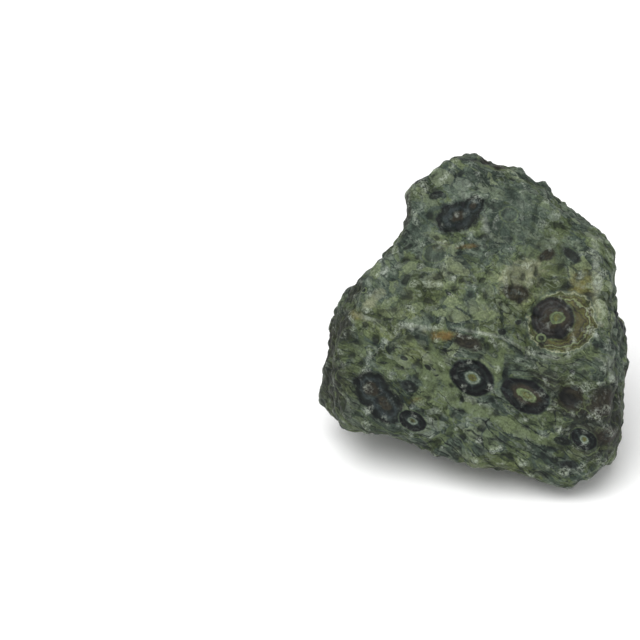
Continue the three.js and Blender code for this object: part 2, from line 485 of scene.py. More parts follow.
# Rows by kind: across and up from the core, half length and half width in mm, turn in degrees.
FRONT_MARKS = {
    Mark.SLATE: [
        (-3.6, 27.4, 6, 3.9, 22), (0.3, 30, 3.4, 2.7, 40), (-26.2, -17.8, 5.2, 4.5, -30),
        (-22.6, -21.8, 5.8, 4.3, -48),
    ],
    Mark.LENS: [
        (-9.3, 33, 2.2, 1, 18), (23.4, -31, 2.5, 1.2, -14), (25, -37.2, 2.7, 1.1, -6),
        (-16.4, -17, 2.4, 1.5, -20), (-17.8, -9.6, 1.1, 0.6, -20), (7.8, -2.7, 1, 0.8, 0),
        (12, -0.2, 0.9, 0.7, 0), (25.8, 17.2, 2.9, 1.2, -42), (-11.5, -12, 1.1, 0.6, -40),
        (-6.1, 7.4, 0.8, 0.5, -20), (25.9, -13, 0.8, 0.7, 0),
    ],
    Mark.HALO: [(23.3, -0.3, 8.9, 7.9, 10)],
    Mark.TARGET: [(20.8, 0.9, 5.5, 5.3, -20)],
    Mark.CORE: [(22.1, 0.9, 3, 2.4, 4), (14.3, -19.2, 4.2, 2, -30)],
    Mark.RINGLET: [(17.9, -4.3, 1.5, 1.3, 0), (-28.3, 8.2, 1.2, 1, 0)],
    Mark.UMBER: [
        (11.6, 7.3, 3.9, 2.2, -14), (-1.2, -5.4, 3.8, 1.9, -20), (25.7, -19.5, 3, 3.2, 0),
        (33.8, -20.9, 3.5, 3.5, 0), (35.1, -29.8, 3.3, 2.4, 0), (19.4, 17.2, 2.3, 1.4, 24),
    ],
    Mark.EYE: [
        (0, -14.5, 5.8, 4.3, -28), (13.9, -19.3, 6.4, 4, -26), (29, -30.6, 3.6, 2.4, -35),
        (-15.6, -25.9, 3.7, 2.5, -24),
    ],
    Mark.CHIP: [
        (-25.4, 13.4, 1.5, 2, 0), (-16.3, 14.3, 2.5, 1.2, 38), (-11.1, 13.4, 2.9, 0.7, 0),
        (-20.4, 9.3, 2, 1.3, 45), (-21.5, 5, 2.1, 1.4, 25), (-14.5, 3.5, 1.8, 1.4, 30),
        (-5.6, 9.4, 2.2, 1.3, 14), (-5.4, 4.8, 2.6, 1.3, 0), (-8.3, 21.7, 2.6, 1.2, -20),
        (-8.3, 2.2, 1.7, 1, -10), (3.8, 1.4, 3.2, 1.5, 6), (2.3, 5.4, 1.3, 1.9, 0),
    ],
    Mark.GHOST: [(-9.6, 17.8, 3.6, 2.8, 10), (9.6, 27.8, 2.6, 2.3, 0)],
    Mark.OLIVE: [
        (20, 6, 15, 14, 8), (-14, 5, 12, 5, 20), (4, 1, 8, 4, -10), (-24, 0, 11, 5, -38), (-7, 11, 8, 5, 20),
        (-12, -9, 9, 4, -30), (8, -38, 14, 3, -14),
    ],
    Mark.MUSTARD: [
        (-30.8, 2, 2.4, 1.2, -30), (27.8, 7.5, 3.2, 5.6, -12), (-8.2, 20.3, 2.3, 1.8, 0),
        (-7.4, -3.6, 4.2, 1.5, -4),
    ],
    Mark.RUST: [
        (-7.6, -3.8, 3.3, 1.1, 4), (-14.7, -20.4, 1.5, 0.8, 20), (-1, 19.6, 2.5, 0.6, 8),
        (30.8, 0.6, 1.7, 3.6, 24),
    ],
    Mark.SAGE: [
        (-8.5, -11.5, 1.5, 6.2, 24), (-11.6, -14.8, 2, 4.2, 34), (-5.2, -19.5, 1.8, 3.4, 26),
        (1.5, -23.2, 4.8, 1.7, -16), (9.8, -27.2, 6, 1.6, -26), (19, -31, 5.4, 1, -20), (7, -12, 1.1, 5, -12),
    ],
    Mark.CREAM: [(12.6, 12.1, 5, 3.4, 24), (-25.5, 6, 4, 1.2, 46), (15.6, 14.4, 2, 1.5, 10), (32, 4, 1, 5, 10)],
    # The thin rows along the ridge, from (-27.5, 1) to (32.8, -1), are a painted highlight on its arris; the
    # other rows are whitish patches in the stone.
    Mark.ASH: [
        (-0.8, -19.9, 2, 0.9, -20), (-27.5, 1, 6.4, 0.6, -18), (-14.5, -1.4, 6, 0.8, -4),
        (1.2, -2.8, 6.8, 0.5, -10), (11, -5.8, 4.6, 0.45, -26), (19.5, -8.9, 4.6, 0.7, -10),
        (28, -7, 4, 0.6, 30), (32.8, -1, 3.8, 0.6, 68), (3.6, 25.2, 1, 3.4, 12), (36, -14, 1, 6, 4),
        (32.4, 11, 1.2, 9.5, 4),
    ],
    # Partly dark brown crust and partly painted shadow: the left-lobe rows paint the shadow of a neighbouring
    # stone, and the lower-right rows paint the shade of facets that turn away from the light.
    Mark.SHADE: [
        (-37, -15, 7.5, 11, 16), (-36.5, -2, 4.2, 8, 10), (-37.5, -12, 4.6, 15, 4), (-31, 8, 2, 4, -38),
        (-33.8, -1, 3.4, 5, 0), (37.5, -27, 2.2, 8, 6), (30, -23.5, 13, 3.4, -14), (31, -30, 8, 6.5, -20),
        (20.5, -15.5, 5, 2.6, -20), (36, -20, 4, 5, 0), (-17, 29, 1.4, 6, -6),
    ],
    Mark.DUN: [
        (22, -13, 11, 6, -14), (5, -7, 9, 3.5, -14), (20.5, 19, 4.5, 7, 30), (17, -2, 9, 8, 0),
        (-35, -8, 6, 12, 10), (-30, -24, 9, 5, -30), (-14, 14, 6, 4, 30),
    ],
    Mark.TEAL: [
        (-33.2, -21.6, 3.4, 4.2, 10), (-22, -25, 7, 3, -14), (14, 20, 9, 5, -30), (-6, 37, 6, 3.6, -10),
        (-12, 27, 4, 6, 0), (15, 31, 8, 4, -34), (-20, 7, 6, 5, 30), (1.5, 6.5, 5, 3, 30),
    ],
}

MARKS = {
    Side.FRONT: FRONT_MARKS,
    Side.RIGHT: {
        Mark.SLATE: [(13, 7, 7.5, 5.2, 60)],
        Mark.EYE: [(8, -9, 6.2, 4.8, -30)],
        Mark.UMBER: [(-1, -19, 4.2, 3.2, 15)],
        Mark.LENS: [(19, -12, 3.4, 1.8, 40)],
    },
    Side.LEFT: {
        Mark.SLATE: [(-7, 5, 7.5, 5.4, -24)],
        Mark.EYE: [(-14, -14, 5.6, 4.4, 20)],
        Mark.LENS: [(-18, -8, 3, 1.9, -30)],
    },
    Side.BACK: {
        Mark.EYE: [(-12, 8, 7.2, 5.6, -24), (3, -1, 5.2, 4, -16), (28, -6, 4.4, 3.2, 40)],
        Mark.SLATE: [(15, 14, 9.5, 6.4, 32), (14, -14, 7, 5.8, -20)],
        Mark.UMBER: [(-22, -12, 5, 4.2, 12)],
        Mark.LENS: [(-2, 22, 3.4, 1.6, 24), (-4, -18, 2.8, 1.5, -12)],
    },
    Side.TOP: {Mark.UMBER: [(3, -6, 4.6, 3.2, 20)]},
}


@dataclass(frozen=True)
class Ringing:
    """How one kind of orb is coloured from its centre (0) out, its edge (1) included."""

    mark: Mark
    stops: Ramp
    edge: Pair  # where it starts to fade and where it is gone
    strength: float = 1
    ragged: float = 0.3  # how far the edge strays, in radii
    span: float = 1.5  # the distance that the ramp's end stands for
    speckle: float = 0.2  # how much the stone's cloudiness shows inside


RINGINGS = (
    Ringing(Mark.CHIP, {
        0: Hue.PALE_SAGE, 0.3: Hue.SAGE, 0.5: Hue.PALE_SAGE, 0.6: Hue.SAGE, 0.66: Hue.DIM_SAGE,
        0.72: Hue.DIM_TEAL,
    }, (0.95, 1.25), 0.62, 2.4, speckle=0.5),
    Ringing(Mark.GHOST, {
        0: Hue.GREY_GREEN, 0.2: Hue.TEAL, 0.42: Hue.DEEP_TEAL, 0.5: Hue.TEAL, 0.58: Hue.SAGE, 0.64: Hue.TEAL,
    }, (0.9, 1.15), 0.55, 0.6),
    Ringing(Mark.HALO, {
        0: Hue.BROWN_OLIVE, 0.36: Hue.BROWN_OLIVE, 0.4: Hue.UMBER, 0.43: Hue.OLIVE, 0.46: Hue.BROWN_OLIVE,
        0.485: Hue.UMBER, 0.505: Hue.PALE_SAGE, 0.53: Hue.OLIVE, 0.555: Hue.UMBER, 0.58: Hue.OLIVE,
        0.61: Hue.MOSS, 0.635: Hue.CREAM, 0.655: Hue.GREY_GREEN, 0.68: Hue.TEAL,
    }, (0.93, 1.1), 0.9, 0.35),
    Ringing(Mark.SLATE, {
        0: Hue.DARK_UMBER, 0.16: Hue.UMBER, 0.26: Hue.INK, 0.36: Hue.SLATE, 0.46: Hue.INK, 0.6: Hue.BLACK,
        0.7: Hue.SLATE,
    }, (0.85, 1.14), 0.97, 0.6, speckle=0.34),
    Ringing(Mark.UMBER, {
        0: Hue.BROWN_GREY, 0.18: Hue.DARK_UMBER, 0.33: Hue.UMBER, 0.5: Hue.DARK_UMBER, 0.64: Hue.UMBER,
    }, (0.7, 1.2), 0.92, 0.9, speckle=0.4),
    Ringing(Mark.TARGET, {
        0: Hue.BROWN_GREY, 0.15: Hue.SMOKE, 0.28: Hue.UMBER, 0.35: Hue.SMOKE, 0.45: Hue.DARK_UMBER,
        0.5: Hue.SMOKE, 0.55: Hue.DARK_UMBER, 0.6: Hue.INK, 0.64: Hue.UMBER, 0.67: Hue.DIM_SAGE,
    }, (0.98, 1.1), 1, 0.3, speckle=0.3),
    Ringing(Mark.EYE, {
        0: Hue.BROWN_OLIVE, 0.11: Hue.OLIVE, 0.16: Hue.GREY_GREEN, 0.2: Hue.PALE_GREY_GREEN, 0.24: Hue.DIM_TEAL,
        0.28: Hue.INK, 0.38: Hue.BLACK, 0.47: Hue.INK, 0.53: Hue.BLACK, 0.63: Hue.BLACK, 0.67: Hue.DEEP_TEAL,
        0.72: Hue.DIM_SAGE,
    }, (0.98, 1.1), 1, 0.22, speckle=0.28),
    Ringing(Mark.LENS, {0: Hue.INK, 0.4: Hue.BLACK, 0.6: Hue.INK, 0.7: Hue.DIM_TEAL}, (0.85, 1.2), 0.9, 0.6),
    Ringing(Mark.RINGLET, {
        0: Hue.DEEP_TEAL, 0.3: Hue.INK, 0.42: Hue.SAGE, 0.55: Hue.SAGE, 0.62: Hue.INK,
    }, (0.95, 1.1), 0.85),
    Ringing(Mark.CORE, {
        0: Hue.SAGE, 0.16: Hue.OLIVE, 0.3: Hue.DIM_SAGE, 0.38: Hue.SAGE, 0.42: Hue.DIM_SAGE, 0.46: Hue.UMBER,
        0.7: Hue.UMBER,
    }, (0.85, 1.25), 1, 0.5, speckle=0.4),
)


@dataclass(frozen=True)
class Staining:
    """How a kind of stain lies over the stone."""

    mark: Mark
    hue: Hue
    strength: float
    edge: Pair = (0.6, 1.35)
    ragged: float = 1.5
    patchy: float = 0.6  # how much the groundmass's clouds break it up
    blend: str = "MIX"


STAININGS = (
    Staining(Mark.TEAL, Hue.TEAL, 0.46),
    Staining(Mark.DUN, Hue.MOSS, 0.5, (0.3, 1.4), 1.8),
    Staining(Mark.OLIVE, Hue.OLIVE, 0.28, (0.3, 1.3), blend="COLOR"),
    Staining(Mark.CREAM, Hue.CREAM, 0.78, (0.5, 1.4), 2.2, 0.5),
    Staining(Mark.SAGE, Hue.SAGE, 0.82, (0.75, 1.2), 0.9, 0.25),
    # The ASH stain is pale stone and, along the ridge, a painted highlight.
    Staining(Mark.ASH, Hue.ASH, 0.6, (0.3, 1.4), 2.6, 0.8),
    Staining(Mark.MUSTARD, Hue.MUSTARD, 0.65, (0.2, 1.4), 2.0),
    Staining(Mark.RUST, Hue.RUST, 0.75, (0.2, 1.4), 2.4),
    # The SHADE stain paints shadow as well as a dark brown crust.
    Staining(Mark.SHADE, Hue.DARK_UMBER, 0.85, (0.4, 1.35), 1.2, 0.4),
)


# The ground, from its dark clouds to its pale ones.
COOL_GROUND = {
    0.28: Hue.INK, 0.36: Hue.DEEP_TEAL, 0.43: Hue.DIM_TEAL, 0.47: Hue.TEAL, 0.53: Hue.TEAL,
    0.55: Hue.GREY_GREEN, 0.63: Hue.GREY_GREEN, 0.66: Hue.PALE_GREY_GREEN,
}
WARM_GROUND = {
    0.3: Hue.DEEP_MOSS, 0.4: Hue.MOSS, 0.46: Hue.DIM_SAGE, 0.51: Hue.DIM_SAGE, 0.53: Hue.SAGE,
    0.61: Hue.SAGE, 0.64: Hue.PALE_SAGE,
}
CHIP_HUES = {0.1: Hue.DIM_SAGE, 0.35: Hue.SAGE, 0.6: Hue.PALE_SAGE, 0.8: Hue.PALE_GREY_GREEN}


@dataclass(frozen=True)
class ChipSet:
    """Angular chips of one size, scattered through the groundmass."""

    size: float  # mm
    bare: float  # share of the cells that stay groundmass
    strength: float


@dataclass(frozen=True)
class KambabaFinish:
    """The stone's material in numbers.

    A noise's numbers are its size in mm, its finer octaves and how strong those are. A drawing's are how
    much it is pressed together along the flow, and how much of the sway and the curl it follows. A pair of
    levels says where something starts and where it is full.
    """

    sway: Triple = (10, 2, 0.5)
    curl: Triple = (2.2, 3, 0.6)
    reach: Pair = (4.5, 1.7)  # how far sway and curl go, in mm
    cloud: Triple = (4.6, 4, 0.55)
    tint: Triple = (8.0, 4, 0.6)
    fleck: Triple = (1.5, 3, 0.6)
    wisp: Triple = (3.4, 2, 0.5)
    grain: Triple = (0.55, 3, 0.7)
    blotch: Triple = (2.4, 4, 0.65)  # inside the orbs
    crystal: Triple = (1.5, 4, 0.65)
    crystal_zone: Triple = (8, 2, 0.5)  # where they gather
    stray: Triple = (1.9, 3, 0.6)  # bays and tongues along a mark's edge
    kinks: Triple = (6, 1, 0.5)  # in an orb's rings
    kink_depth: float = 0.28  # radii

    tint_levels: Pair = (0.5, 0.55)  # from grey-green to yellow-green ground
    olive_tint: float = 0.11  # how much an olive stain warms the ground
    teal_tint: float = 0.08  # how much a teal patch cools it
    wisp_lines: float = 4  # lines to one sway of the wisps
    dark_wisp: Pair = (0.14, 0.03)
    pale_wisp: Pair = (0.38, 0.46)
    wisp_strength: Pair = (0.8, 0.6)  # of the dark and the pale ones
    breaks: Pair = (0.4, 0.54)  # in the dark lines
    chip_sets: tuple[ChipSet, ...] = (ChipSet(1.7, 0.66, 0.66), ChipSet(3.4, 0.68, 0.82))
    chip_zone: Triple = (15, 1, 0.5)  # the same for chips
    chip_edge: Pair = (0.06, 0.1)
    outline: Pair = (0.09, 0.03)
    murky: Pair = (0.22, 0.18)  # share of the cells that are darker ground
    murk: float = 0.42  # how much darker
    pale_fleck: Pair = (0.58, 0.66)
    dark_fleck: Pair = (0.42, 0.34)
    fleck_strength: Pair = (0.3, 0.34)  # of the pale and the dark ones

    flow_turn: float = -32  # of the flow bands on the front, in degrees
    flow_drawing: Triple = (0.24, 0.8, 0.35)
    fleck_drawing: Triple = (0.42, 1, 0.7)
    chip_drawing: Triple = (0.68, 1, 0.8)
    flow_noise: Triple = (7, 2, 0.45)
    flow_start: Pair = (0, -8)  # heights from the core between which the flow takes over, in mm
    flow_lines: float = 5.5  # lines to one sway of the flow
    flow_dark: Pair = (0.09, 0.02)
    flow_pale: Pair = (0.4, 0.49)
    flow_dimming: float = 0.12  # how much darker the stone is where the flow shows
    ring_lines: float = 1.3  # lines that follow an orb's edge, to one orb radius
    ring_reach: float = 2.4  # how far from its centre they follow it, in radii

    thinning: Pair = (0.6, 0.35)  # of the stains, over dark clouds
    orb_specks: Pair = (0.54, 0.66)
    grain_light: Pair = (1.1, 0.06)  # share of the grain in the stone's light, and what is added to it
    hollow_shade: Pair = (0.42, 0.15)  # stand at which hollows get painted shade
    edge_highlight: Pair = (0.62, 0.95)  # stand at which edges get a painted highlight
    hollow_shade_strength: float = 0.7
    edge_highlight_strength: float = 0.4
    crystal_strength: float = 0.34
    bump: float = 0.3  # mm
    rough: float = 0.7
    shine: float = 0.14
    polish: float = 0.14  # how much smoother the orbs are

    def build(self) -> bpy.types.Material:
        """Makes the material, which reads how near each kind of mark is from the mesh.

        Returns:
            The material.
        """
        made = bpy.data.materials.new("kambaba_jasper")
        made.use_nodes = True
        KambabaPainter(Graph(made.node_tree), self).paint()
        return made


class KambabaPainter:
    """Writes the material's nodes, each step over the colour that the step before left."""

    def __init__(self, graph: Graph, finish: KambabaFinish) -> None:
        """Makes the ground and what the steps share.

        Args:
            graph: The material's graph.
            finish: The material's numbers.
        """
        self.graph = graph
        self.finish = finish
        self.place = graph.flow("ShaderNodeTexCoord", {}, {}, "Object") * (1 / MM)
        sway, curl = (
            (graph.noise(self.place, *noise, colour=True) - 0.5) * reach
            for noise, reach in zip((finish.sway, finish.curl), finish.reach)
        )
        self.swirled = self.place + sway + curl
        self.stream, self.drawn, self.chipped = (
            self._stream(self.place + sway * wide + curl * fine, stretch)
            for stretch, wide, fine in (finish.flow_drawing, finish.fleck_drawing, finish.chip_drawing)
        )
        below = graph.dot(self.place + sway * 2 - tuple(Camera.core), Side.FRONT.value.upward)
        self.banded = below.rise(*finish.flow_start)
        self.clouds = self._either(self.swirled, self.drawn, finish.cloud)
        self.flecks = self._either(self.swirled + Apart.FLECKS, self.drawn + Apart.FLECKS, finish.fleck)
        self.broken = self.flecks.rise(*finish.breaks)
        self.grain = graph.noise(self.place, *finish.grain)
        self.crest = graph.attribute(Relief.CREST)
        stray = graph.noise(self.place, *finish.stray) - 0.5
        kinks = (graph.noise(self.place + Apart.KINKS, *finish.kinks) - 0.5) * finish.kink_depth
        self.near = {
            style.mark: graph.attribute(style.mark.name) + stray * style.ragged + kinks
            for style in RINGINGS + STAININGS
        }
        olive = self.near[Mark.OLIVE].rise(1.2, 0.3) * finish.olive_tint
        teal = self.near[Mark.TEAL].rise(1.2, 0.4) * finish.teal_tint
        tint = graph.noise(self.swirled + Apart.TINT, *finish.tint) + olive - teal
        grounds = [graph.ramp(self.clouds, ground) for ground in (COOL_GROUND, WARM_GROUND)]
        self.colour = graph.mix(tint.rise(*finish.tint_levels), *grounds)
        self.lines: Flow | Number = 0
        self.orbs: Flow | Number = 0

    def paint(self) -> None:
        """Takes every step, in the order in which they cover each other."""
        self._streak()
        self._scatter_chips()
        self._stain()
        self._draw_flow()
        self._fleck()
        self._draw_orbs()
        self._add_grain_and_painted_light()
        self._shade()

    def _lay(self, share: Flow, hue: Flow | Hue, blend: str = "MIX") -> None:
        """Lays a colour over what is there."""
        self.colour = self.graph.mix(share, self.colour, hue, blend)

    def _either(self, still: Flow, drawn: Flow, noise: Triple) -> Flow:
        """Noise that is even in one part of the stone and drawn out along the flow in the other.

        Args:
            still: Where on the stone, in mm.
            drawn: The same, pressed together along the flow.
            noise: Its size, its finer octaves and how strong those are.

        Returns:
            The noise.
        """
        even = self.graph.noise(still, *noise)
        return even + (self.graph.noise(drawn, *noise) - even) * self.banded

    def _stream(self, swayed: Flow, stretch: float) -> Flow:
        """Places drawn out along the stone's flow.

        Args:
            swayed: Where on the stone, swayed, in mm.
            stretch: How much they are pressed together along the flow.

        Returns:
            The same places, pressed together along the flow.
        """
        front = Side.FRONT.value
        turn = math.radians(self.finish.flow_turn)
        along = front.across * math.cos(turn) + front.upward * math.sin(turn)
        beside = front.upward * math.cos(turn) - front.across * math.sin(turn)
        return self.graph.flow("ShaderNodeCombineXYZ", {}, {
            "X": self.graph.dot(swayed, along) * stretch,
            "Y": self.graph.dot(swayed, beside),
            "Z": self.graph.dot(swayed, front.outward) * 0.7,
        })

    def _streak(self) -> None:
        """Draws short wisps into the ground, the dark ones together with the chips' outlines."""
        finish = self.finish
        wisps = self._either(self.chipped + Apart.WISPS, self.stream + Apart.WISPS, finish.wisp)
        wisps = (wisps * finish.wisp_lines).fold(0.5)
        self._lay(wisps.rise(*finish.pale_wisp) * finish.wisp_strength[1], Hue.PALE_GREY_GREEN)
        self.lines = wisps.rise(*finish.dark_wisp) * finish.wisp_strength[0]

    def _scatter_chips(self) -> None:
        """Scatters angular chips of two sizes, outlined in dark."""
        finish, graph = self.finish, self.graph
        chippy = graph.noise(self.swirled + Apart.CHIP_ZONES, *finish.chip_zone).rise(0.36, 0.6) * 0.3 + 0.7
        for chips, place in zip(finish.chip_sets, (self.drawn + Apart.SMALL_CHIPS, self.chipped)):
            edge = graph.cells(place, chips.size, "DISTANCE_TO_EDGE")
            random = graph.cells(place, chips.size, output="Color")
            pick = graph.dot(random, (1, 0, 0))
            hue = graph.ramp(graph.dot(random, (0, 1, 0)), CHIP_HUES) * (self.clouds * 0.8 + 0.55)
            inside = pick.rise(chips.bare, chips.bare + 0.04) * chippy
            self._lay(inside * edge.rise(*finish.chip_edge) * chips.strength, hue)
            self._lay(pick.rise(*finish.murky) * edge.rise(0.04, 0.12) * finish.murk, Hue.DEEP_TEAL)
            outline = edge.rise(*finish.outline) * (inside * 0.4 + 0.16)
            self.lines = (self.lines * (1 - inside * 0.5)).most(outline)
        self.lines = self.lines * (self.broken * 0.75 + 0.25)
        self._lay(self.lines, Hue.INK)

    def _stain(self) -> None:
        """Lays the stains and pale bands over the stone, thinner where its clouds are dark."""
        dark = self.clouds.rise(*self.finish.thinning)
        for staining in STAININGS:
            mask = self.near[staining.mark].rise(staining.edge[1], staining.edge[0])
            self._lay(mask * staining.strength * (1 - dark * staining.patchy), staining.hue, staining.blend)

    def _draw_flow(self) -> None:
        """Draws thin dark and pale lines that stream across the stone and bend round its orbs."""
        finish, near = self.finish, self.near
        orbs = near[Mark.EYE].least(near[Mark.TARGET]).least(near[Mark.SLATE]).least(near[Mark.UMBER])
        rings = (finish.ring_reach - orbs).most(0) * finish.ring_lines
        folded = (self.graph.noise(self.stream, *finish.flow_noise) * finish.flow_lines + rings).fold(0.5)
        shown = self.banded * 0.6 + 0.3
        dark = folded.rise(*finish.flow_dark) * shown * (self.broken * 0.7 + 0.3) * near[Mark.SAGE].rise(0.7, 1.1)
        self._lay(dark, Hue.INK)
        self._lay(folded.rise(*finish.flow_pale) * shown * 0.6, Hue.SAGE)
        self.lines = dark.most(self.lines)

    def _fleck(self) -> None:
        """Adds pale and dark flecks, and dims the stone where the flow shows."""
        pale, dark = self.finish.fleck_strength
        self._lay(self.flecks.rise(*self.finish.pale_fleck) * pale, Hue.PALE_GREY_GREEN)
        self._lay(self.flecks.rise(*self.finish.dark_fleck) * dark, Hue.INK)
        self.colour = self.colour * (1 - self.banded * self.finish.flow_dimming)

    def _draw_orbs(self) -> None:
        """Draws the orbs' rings, speckled and blotchy."""
        specks = self.flecks.rise(*self.finish.orb_specks)
        blotches = self.graph.noise(self.place + Apart.BLOTCHES, *self.finish.blotch) * 1.7 + 0.15
        for ringing in RINGINGS:
            away = self.near[ringing.mark]
            rings = self.graph.ramp(away / ringing.span, ringing.stops)
            spotted = self.graph.mix(specks * ringing.speckle, rings, Hue.BLUE_GREY)
            mask = away.rise(ringing.edge[1], ringing.edge[0]) * ringing.strength
            self._lay(mask, spotted * blotches)
            self.orbs = mask.most(self.orbs)

    def _add_grain_and_painted_light(self) -> None:
        """Adds grain, white crystals, painted shade in the hollows and a painted highlight on the edges."""
        finish, crest = self.finish, self.crest
        self.colour = self.colour * (self.grain * finish.grain_light[0] + finish.grain_light[1])
        crystals = self.graph.noise(self.place + Apart.CRYSTALS, *finish.crystal).rise(0.53, 0.68)
        zones = self.graph.noise(self.place, *finish.crystal_zone).rise(0.5, 0.65) * 0.28
        self._lay(crystals * (zones + crest.rise(0.6, 0.85) * 0.6).least(1) * finish.crystal_strength, Hue.CHALK)
        # Painted shade: darkens the hollows, where the stone stands below what is round it.
        self._lay(crest.rise(*finish.hollow_shade) * finish.hollow_shade_strength, Hue.BLACK)
        # Painted highlight: pales the edges that stand up from what is round them.
        self._lay(crest.rise(*finish.edge_highlight) * self.grain.rise(0.4, 0.65) * finish.edge_highlight_strength, Hue.ASH)

    def _shade(self) -> None:
        """Joins colour, gloss and fine relief in the shader."""
        finish, graph = self.finish, self.graph
        height = self.clouds * 0.8 + self.grain * 0.5 - self.lines * 0.25
        relief = graph.flow("ShaderNodeBump", {}, {
            "Height": height, "Strength": 0.8, "Distance": finish.bump * MM,
        }, "Normal")
        rough = finish.rough - self.orbs * finish.polish + (self.grain - 0.5) * 0.5
        shader = graph.flow("ShaderNodeBsdfPrincipled", {}, {
            "Base Color": self.colour,
            "Roughness": rough - self.crest.rise(0.6, 0.9) * 0.08,
            "Normal": relief,
            "Specular IOR Level": finish.shine,
        })
        graph.node("ShaderNodeOutputMaterial", {}, {"Surface": shader})


@dataclass
class Relief:
    """The broken surface's small forms, as a tree of geometry nodes."""

    CREST = "crest"
    AROUND = 8  # passes of blur that level what is round a point
    CREST_GAIN = 0.9  # of the stored measure, for each mm of stand

    rounding: int = 3  # passes that take the facets off
    easing: int = 1  # passes that take the razor edges off the small forms
    block: Pair = (6.5, 0.28)  # width of a tilted facet in mm, and its slope
    hackle: Pair = (2.8, 0.28)
    crumb: Pair = (2.8, 1.7)  # width and height, in mm
    pit: Pair = (3.4, 0.7)  # width and depth, in mm
    pit_share: Pair = (0.62, 0.76)  # of the noise over which a pit starts and is full
    wobble: Pair = (3.5, 2.4)  # size of the sway of the facets' borders, and its reach, in mm
    hackle_wobble: float = 0.6  # how much of it the hackles take
    foot_fade: Pair = (0.4, 3.5)  # height over which the relief starts, in mm
    arris_fade: Pair = (0.2, 0.5)  # stand of an arris over which the facets fade, in mm
    arris_share: float = 0.5  # of the facets that fades there

    def inputs(self) -> dict[str, Number]:
        """Names the tree's numbers.

        Returns:
            Each number by the name of its input.
        """
        return {
            "Rounding": self.rounding,
            "Easing": self.easing,
            "Block width": self.block[0],
            "Block slope": self.block[1],
            "Hackle width": self.hackle[0],
            "Hackle slope": self.hackle[1],
            "Crumb width": self.crumb[0],
            "Crumb height": self.crumb[1],
            "Pit width": self.pit[0],
            "Pit depth": self.pit[1],
        }

    def tree(self) -> bpy.types.NodeTree:
        """Makes the tree.

        Returns:
            A geometry tree whose inputs are this relief's sizes.
        """
        made = bpy.data.node_groups.new("broken_surface", "GeometryNodeTree")
        graph = Graph(made)
        kinds = {name: "Int" if isinstance(value, int) else "Float" for name, value in self.inputs().items()}
        made.interface.new_socket("Stone", in_out="OUTPUT", socket_type="NodeSocketGeometry")
        for name, kind in {"Stone": "Geometry", **kinds, "Finish": "Material"}.items():
            made.interface.new_socket(name, in_out="INPUT", socket_type="NodeSocket" + kind)
        source = graph.node("NodeGroupInput")
        given = {socket.name: Flow(graph, socket) for socket in source.outputs if socket.name}

        rounded = graph.flow("GeometryNodeSetPosition", {}, {
            "Geometry": given["Stone"], "Position": self._level(graph, given["Rounding"]),
        })
        place = graph.flow("GeometryNodeInputPosition") * (1 / MM)
        clear = graph.dot(place, (0, 0, 1)).rise(*self.foot_fade)
        wobble = (graph.noise(place, self.wobble[0], 2, colour=True) - 0.5) * self.wobble[1]
        sharp = self._stand(graph).rise(*self.arris_fade)
        shift = self._facets(graph, place + wobble, given["Block width"], given["Block slope"])
        shift = shift + self._facets(graph, place + wobble * self.hackle_wobble + Apart.HACKLES,
                                     given["Hackle width"], given["Hackle slope"])
        shift = shift * (1 - sharp * self.arris_share)
        crumbs = graph.noise(place, given["Crumb width"], 3, 0.55)
        shift = shift + (crumbs - 0.5) * given["Crumb height"] * 2
        pits = graph.noise(place + Apart.PITS, given["Pit width"], 2, 0.5).rise(*self.pit_share)
        shift = shift - pits * given["Pit depth"]
        eased = graph.flow("GeometryNodeBlurAttribute", {"data_type": "FLOAT"}, {
            "Value": shift * clear, "Iterations": given["Easing"],
        })
        moved = graph.flow("GeometryNodeSetPosition", {}, {
            "Geometry": rounded, "Offset": graph.flow("GeometryNodeInputNormal") * (eased * MM),
        })
        marked = self._mark_crests(graph, moved)
        whole = graph.flow("GeometryNodeRealizeInstances", {}, {"Geometry": marked})
        smooth = graph.flow("GeometryNodeSetShadeSmooth", {}, {0: whole})
        dressed = graph.flow("GeometryNodeSetMaterial", {}, {"Geometry": smooth, "Material": given["Finish"]})
        graph.node("NodeGroupOutput", {}, {"Stone": dressed})
        return made

    @staticmethod
    def _level(graph: Graph, passes: Flow | int) -> Flow:
        """Where each point would be after a number of moves towards its neighbours."""
        inputs = {"Value": graph.flow("GeometryNodeInputPosition"), "Iterations": passes}
        return graph.flow("GeometryNodeBlurAttribute", {"data_type": "FLOAT_VECTOR"}, inputs)

    @staticmethod
    def _facets(graph: Graph, place: Flow, width: Flow, slope: Flow) -> Flow:
        """Small flat faces, each tilted its own way, as a hackly break leaves them.

        Args:
            graph: The tree's graph.
            place: Where on the stone, in mm.
            width: The width of a face.
            slope: How steeply they tilt.

        Returns:
            The height, in mm.
        """
        cell = graph.node("ShaderNodeTexVoronoi", {}, {"Vector": place, "Scale": graph.maths("DIVIDE", 1, width)})
        tilt = Flow(graph, cell.outputs["Color"]) - 0.5
        offset = place - Flow(graph, cell.outputs["Position"])
        return graph.dot(tilt, offset) * slope

    @classmethod
    def _stand(cls, graph: Graph) -> Flow:
        """How far each point stands up from what is round it, in mm."""
        above = graph.flow("GeometryNodeInputPosition") - cls._level(graph, cls.AROUND)
        return graph.dot(above, graph.flow("GeometryNodeInputNormal")) * (1 / MM)

    @classmethod
    def _mark_crests(cls, graph: Graph, stone: Flow) -> Flow:
        """Stores how far each point stands up from what is round it, 0.5 being level.

        Args:
            graph: The tree's graph.
            stone: The stone's mesh.

        Returns:
            The mesh with the measure on its points.
        """
        level = cls._stand(graph) * cls.CREST_GAIN + 0.5
        return graph.flow("GeometryNodeStoreNamedAttribute", {"data_type": "FLOAT", "domain": "POINT"}, {
            "Geometry": stone, "Name": cls.CREST, "Value": level,
        })

